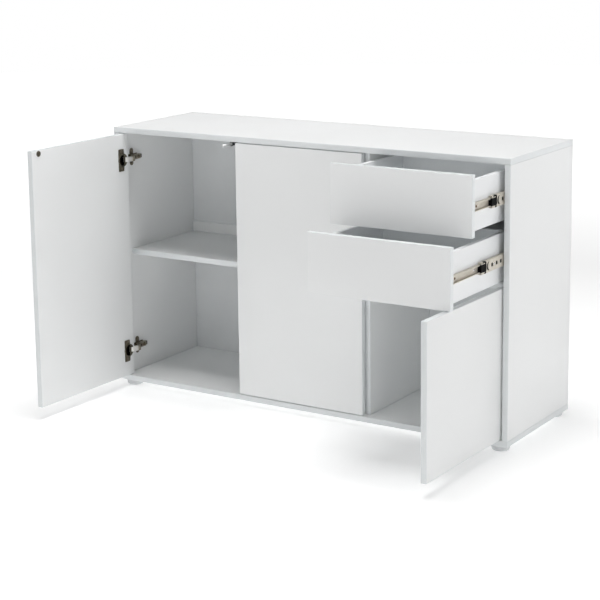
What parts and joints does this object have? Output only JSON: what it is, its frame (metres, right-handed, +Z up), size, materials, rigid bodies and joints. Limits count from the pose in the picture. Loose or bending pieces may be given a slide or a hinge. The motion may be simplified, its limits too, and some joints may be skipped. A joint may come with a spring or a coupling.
{
  "type": "sideboard",
  "caption": "White board sideboard with inset doors on concealed hinges, push latches, a wide shelf, drawers on ball-bearing slides and round glides.",
  "frame": {"origin": "on the floor at mid width, in the plane of the closed fronts", "axes": "+X to the right as seen from the front, +Y from the fronts to the back, +Z up"},
  "size_m": [1.17, 0.7201, 0.715],
  "materials": {
    "white_board": "white melamine-faced chipboard, satin",
    "white_hardboard": "white-faced hardboard, satin",
    "foot_plastic": "white moulded plastic",
    "hinge_steel": "nickel-plated pressed steel",
    "hinge_cup_steel": "dark nickel-plated pressed steel",
    "striker_steel": "nickel-plated steel disc",
    "rail_steel": "zinc-plated rolled steel",
    "latch_housing_plastic": "dark grey moulded plastic",
    "latch_plunger_plastic": "white moulded plastic"
  },
  "bodies": {
    "root": {"bottom_panel": "white_board", "top_panel": "white_board", "left_side_panel": "white_board", "right_side_panel": "white_board", "divider_panel": "white_board", "drawer_base_panel": "white_board", "wide_back_panel": "white_hardboard", "right_back_panel": "white_hardboard", "wide_shelf": "white_board", "shelf_back_rail": "white_board", "foot_front_left": "foot_plastic", "foot_front_right": "foot_plastic", "foot_back_left": "foot_plastic", "foot_back_right": "foot_plastic", "left_door_upper_hinge_arm": "hinge_steel", "left_door_lower_hinge_arm": "hinge_steel", "middle_door_upper_hinge_arm": "hinge_steel", "middle_door_lower_hinge_arm": "hinge_steel", "right_door_upper_hinge_arm": "hinge_steel", "right_door_lower_hinge_arm": "hinge_steel", "left_door_latch_housing": "latch_housing_plastic", "middle_door_latch_housing": "latch_housing_plastic", "right_door_latch_housing": "latch_housing_plastic", "lower_drawer_left_outer_rail": "rail_steel", "lower_drawer_right_outer_rail": "rail_steel", "upper_drawer_left_outer_rail": "rail_steel", "upper_drawer_right_outer_rail": "rail_steel"},
    "left_door": {"left_door_panel": "white_board", "left_door_upper_hinge_cup": "hinge_cup_steel", "left_door_lower_hinge_cup": "hinge_cup_steel", "left_door_striker": "striker_steel"},
    "middle_door": {"middle_door_panel": "white_board", "middle_door_upper_hinge_cup": "hinge_cup_steel", "middle_door_lower_hinge_cup": "hinge_cup_steel", "middle_door_striker": "striker_steel"},
    "right_door": {"right_door_panel": "white_board", "right_door_upper_hinge_cup": "hinge_cup_steel", "right_door_lower_hinge_cup": "hinge_cup_steel", "right_door_striker": "striker_steel"},
    "left_door_latch_plunger": {"left_door_latch_plunger": "latch_plunger_plastic"},
    "middle_door_latch_plunger": {"middle_door_latch_plunger": "latch_plunger_plastic"},
    "right_door_latch_plunger": {"right_door_latch_plunger": "latch_plunger_plastic"},
    "lower_drawer": {"lower_drawer_front": "white_board", "lower_drawer_left_side": "white_board", "lower_drawer_right_side": "white_board", "lower_drawer_back": "white_board", "lower_drawer_bottom": "white_hardboard", "lower_drawer_left_inner_rail": "rail_steel", "lower_drawer_right_inner_rail": "rail_steel"},
    "lower_drawer_left_middle_rail": {"lower_drawer_left_middle_rail": "rail_steel"},
    "lower_drawer_right_middle_rail": {"lower_drawer_right_middle_rail": "rail_steel"},
    "upper_drawer": {"upper_drawer_front": "white_board", "upper_drawer_left_side": "white_board", "upper_drawer_right_side": "white_board", "upper_drawer_back": "white_board", "upper_drawer_bottom": "white_hardboard", "upper_drawer_left_inner_rail": "rail_steel", "upper_drawer_right_inner_rail": "rail_steel"},
    "upper_drawer_left_middle_rail": {"upper_drawer_left_middle_rail": "rail_steel"},
    "upper_drawer_right_middle_rail": {"upper_drawer_right_middle_rail": "rail_steel"}
  },
  "joints": [
    {"name": "left_door_hinge", "type": "hinge", "parent": "root", "child": "left_door", "pos_m": [-0.559, 0.007, 0.365], "axis": [0, 0, -1], "range_deg": [-91, 4]},
    {"name": "middle_door_hinge", "type": "hinge", "parent": "root", "child": "middle_door", "pos_m": [0.177, 0.007, 0.365], "axis": [0, 0, 1], "range_deg": [0, 90]},
    {"name": "right_door_hinge", "type": "hinge", "parent": "root", "child": "right_door", "pos_m": [0.559, 0.007, 0.218], "axis": [0, 0, 1], "range_deg": [-89, 6]},
    {"name": "upper_drawer_slide", "type": "slide", "parent": "root", "child": "upper_drawer", "axis": [0, -1, 0], "range_m": [-0.16, 0.13]},
    {"name": "lower_drawer_slide", "type": "slide", "parent": "root", "child": "lower_drawer", "axis": [0, -1, 0], "range_m": [-0.264, 0.026]},
    {"name": "upper_drawer_left_middle_rail_slide", "type": "slide", "parent": "root", "child": "upper_drawer_left_middle_rail", "axis": [0, -1, 0], "range_m": [-0.08, 0.065]},
    {"name": "upper_drawer_right_middle_rail_slide", "type": "slide", "parent": "root", "child": "upper_drawer_right_middle_rail", "axis": [0, -1, 0], "range_m": [-0.08, 0.065]},
    {"name": "lower_drawer_left_middle_rail_slide", "type": "slide", "parent": "root", "child": "lower_drawer_left_middle_rail", "axis": [0, -1, 0], "range_m": [-0.132, 0.013]},
    {"name": "lower_drawer_right_middle_rail_slide", "type": "slide", "parent": "root", "child": "lower_drawer_right_middle_rail", "axis": [0, -1, 0], "range_m": [-0.132, 0.013]},
    {"name": "left_door_latch_travel", "type": "slide", "parent": "root", "child": "left_door_latch_plunger", "axis": [0, -1, 0], "range_m": [-0.035, 0.0016]},
    {"name": "middle_door_latch_travel", "type": "slide", "parent": "root", "child": "middle_door_latch_plunger", "axis": [0, -1, 0], "range_m": [0, 0.0346]},
    {"name": "right_door_latch_travel", "type": "slide", "parent": "root", "child": "right_door_latch_plunger", "axis": [0, -1, 0], "range_m": [-0.0342, 0.0024]}
  ],
  "couplings": [
    {"joint": "upper_drawer_left_middle_rail_slide", "follows": "upper_drawer_slide", "ratio": 0.5},
    {"joint": "upper_drawer_right_middle_rail_slide", "follows": "upper_drawer_slide", "ratio": 0.5},
    {"joint": "lower_drawer_left_middle_rail_slide", "follows": "lower_drawer_slide", "ratio": 0.5},
    {"joint": "lower_drawer_right_middle_rail_slide", "follows": "lower_drawer_slide", "ratio": 0.5},
    {"joint": "left_door_latch_travel", "follows": "left_door_hinge", "m_per_rad": 0.022},
    {"joint": "middle_door_latch_travel", "follows": "middle_door_hinge", "m_per_rad": 0.022},
    {"joint": "right_door_latch_travel", "follows": "right_door_hinge", "m_per_rad": 0.022}
  ]
}
